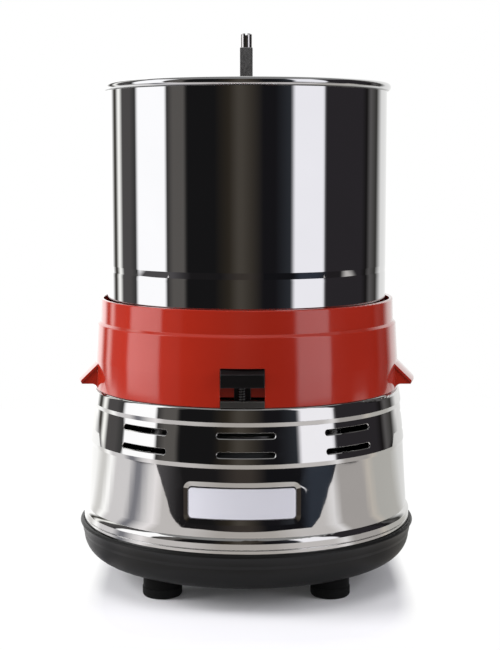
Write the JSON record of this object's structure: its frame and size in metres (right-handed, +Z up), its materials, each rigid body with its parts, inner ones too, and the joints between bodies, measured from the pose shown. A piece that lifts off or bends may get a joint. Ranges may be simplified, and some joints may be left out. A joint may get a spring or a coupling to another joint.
{
  "type": "chocolate refiner",
  "caption": "Tabletop stone refiner: a steel drum with a granite bed turns under granite rollers on a square shaft, held in a red collar over a stepped steel base with a push lock.",
  "frame": {"origin": "on the drum's axis, at the height of the table under the feet", "axes": "+Z up along the drum's axis, -Y towards the front with the lock and the name plate, +X to the right of someone who faces the front"},
  "size_m": [0.2426, 0.2426, 0.3903],
  "materials": {
    "polished_steel": "mirror-polished stainless steel",
    "steel": "machined steel",
    "shaft_steel": "dark machined steel",
    "painted_steel": "dark grey paint on steel",
    "silver_plate": "satin",
    "cast_aluminium": "cast",
    "laminations": "stacked iron sheet",
    "copper": "enamelled copper wire",
    "bronze": "sintered bronze",
    "red_plastic": "gloss",
    "black_pan": "fine texture",
    "black_plastic": "satin",
    "white_plastic": "satin",
    "black_rubber": "matte",
    "granite": "ground granite"
  },
  "bodies": {
    "base": {"base_pan": "black_pan", "rubber_feet": "black_rubber", "tie_bolts": "steel", "pillars": "steel", "deck_spacers": "steel", "chassis_plate": "painted_steel", "body_shell": "polished_steel", "name_plate": "silver_plate", "upper_collar": "red_plastic", "centre_shaft": "shaft_steel", "shaft_nut": "steel", "shaft_washer": "steel", "shaft_circlip": "steel", "bearing_inner_rings": "steel", "motor_can": "painted_steel", "motor_top_cap": "cast_aluminium", "motor_bottom_cap": "cast_aluminium", "motor_stator": "laminations", "motor_windings": "copper", "motor_bushes": "bronze", "motor_screws": "steel", "drive_belt": "black_rubber", "lock_guide": "black_plastic", "lock_spring": "steel", "switch_housing": "black_plastic", "cord_gland": "black_plastic", "capacitor": "white_plastic", "capacitor_clip": "steel", "terminal_block": "white_plastic"},
    "drive": {"drive_hub": "cast_aluminium", "drive_pins": "steel", "drive_pulley": "black_plastic", "pulley_screws": "steel", "bearing_outer_rings": "steel", "bearing_balls": "steel"},
    "drum": {"drum_shell": "polished_steel", "base_stone": "granite", "centre_tube": "steel", "drum_base": "black_plastic", "drum_screws": "steel"},
    "carrier": {"roller_holder": "white_plastic", "roller_axles": "steel", "axle_nuts": "steel", "scraper_arm": "white_plastic", "scraper_blade": "white_plastic", "scraper_screws": "steel"},
    "roller_left": {"roller_left": "granite", "roller_bush_left": "white_plastic"},
    "roller_right": {"roller_right": "granite", "roller_bush_right": "white_plastic"},
    "rotor": {"motor_rotor": "laminations", "motor_pulley": "cast_aluminium", "cooling_fan": "black_plastic"},
    "lock_button": {"lock_button": "black_plastic"},
    "lock_bolt": {"lock_bolt": "black_plastic"},
    "switch_rocker": {"switch_rocker": "black_plastic"}
  },
  "joints": [
    {"name": "drum_spin", "type": "hinge", "parent": "base", "child": "drive", "pos_m": [0, 0, 0.1412], "axis": [0, 0, 1], "continuous": true},
    {"name": "drum_lift", "type": "slide", "parent": "drive", "child": "drum", "axis": [0, 0, 1], "range_m": [0, 0.25]},
    {"name": "roller_lift", "type": "slide", "parent": "base", "child": "carrier", "axis": [0, 0, 1], "range_m": [0, 0.25]},
    {"name": "roller_left_spin", "type": "hinge", "parent": "carrier", "child": "roller_left", "pos_m": [-0.0545, 0, 0.2435], "axis": [-1, 0, 0], "continuous": true},
    {"name": "roller_right_spin", "type": "hinge", "parent": "carrier", "child": "roller_right", "pos_m": [0.0545, 0, 0.2435], "axis": [1, 0, 0], "continuous": true},
    {"name": "motor_spin", "type": "hinge", "parent": "base", "child": "rotor", "pos_m": [0, -0.066, 0.082], "axis": [0, 0, 1], "continuous": true},
    {"name": "lock_press", "type": "slide", "parent": "base", "child": "lock_button", "axis": [0, 0, -1], "range_m": [0, 0.003], "stiffness_N_per_m": 400, "springref_m": -0.003, "deforming": ["lock_spring"]},
    {"name": "lock_bolt_slide", "type": "slide", "parent": "base", "child": "lock_bolt", "axis": [0, 1, 0], "range_m": [0, 0.003]},
    {"name": "switch_rock", "type": "hinge", "parent": "base", "child": "switch_rocker", "pos_m": [0, 0.11232, 0.0758], "axis": [-1, 0, 0], "range_deg": [0, 16]}
  ],
  "couplings": [
    {"joint": "motor_spin", "follows": "drum_spin", "ratio": 7.5},
    {"joint": "roller_left_spin", "follows": "drum_spin", "ratio": 1.2976},
    {"joint": "roller_right_spin", "follows": "drum_spin", "ratio": 1.2976},
    {"joint": "roller_lift", "follows": "drum_lift", "ratio": 1},
    {"joint": "lock_bolt_slide", "follows": "lock_press", "ratio": 1}
  ]
}
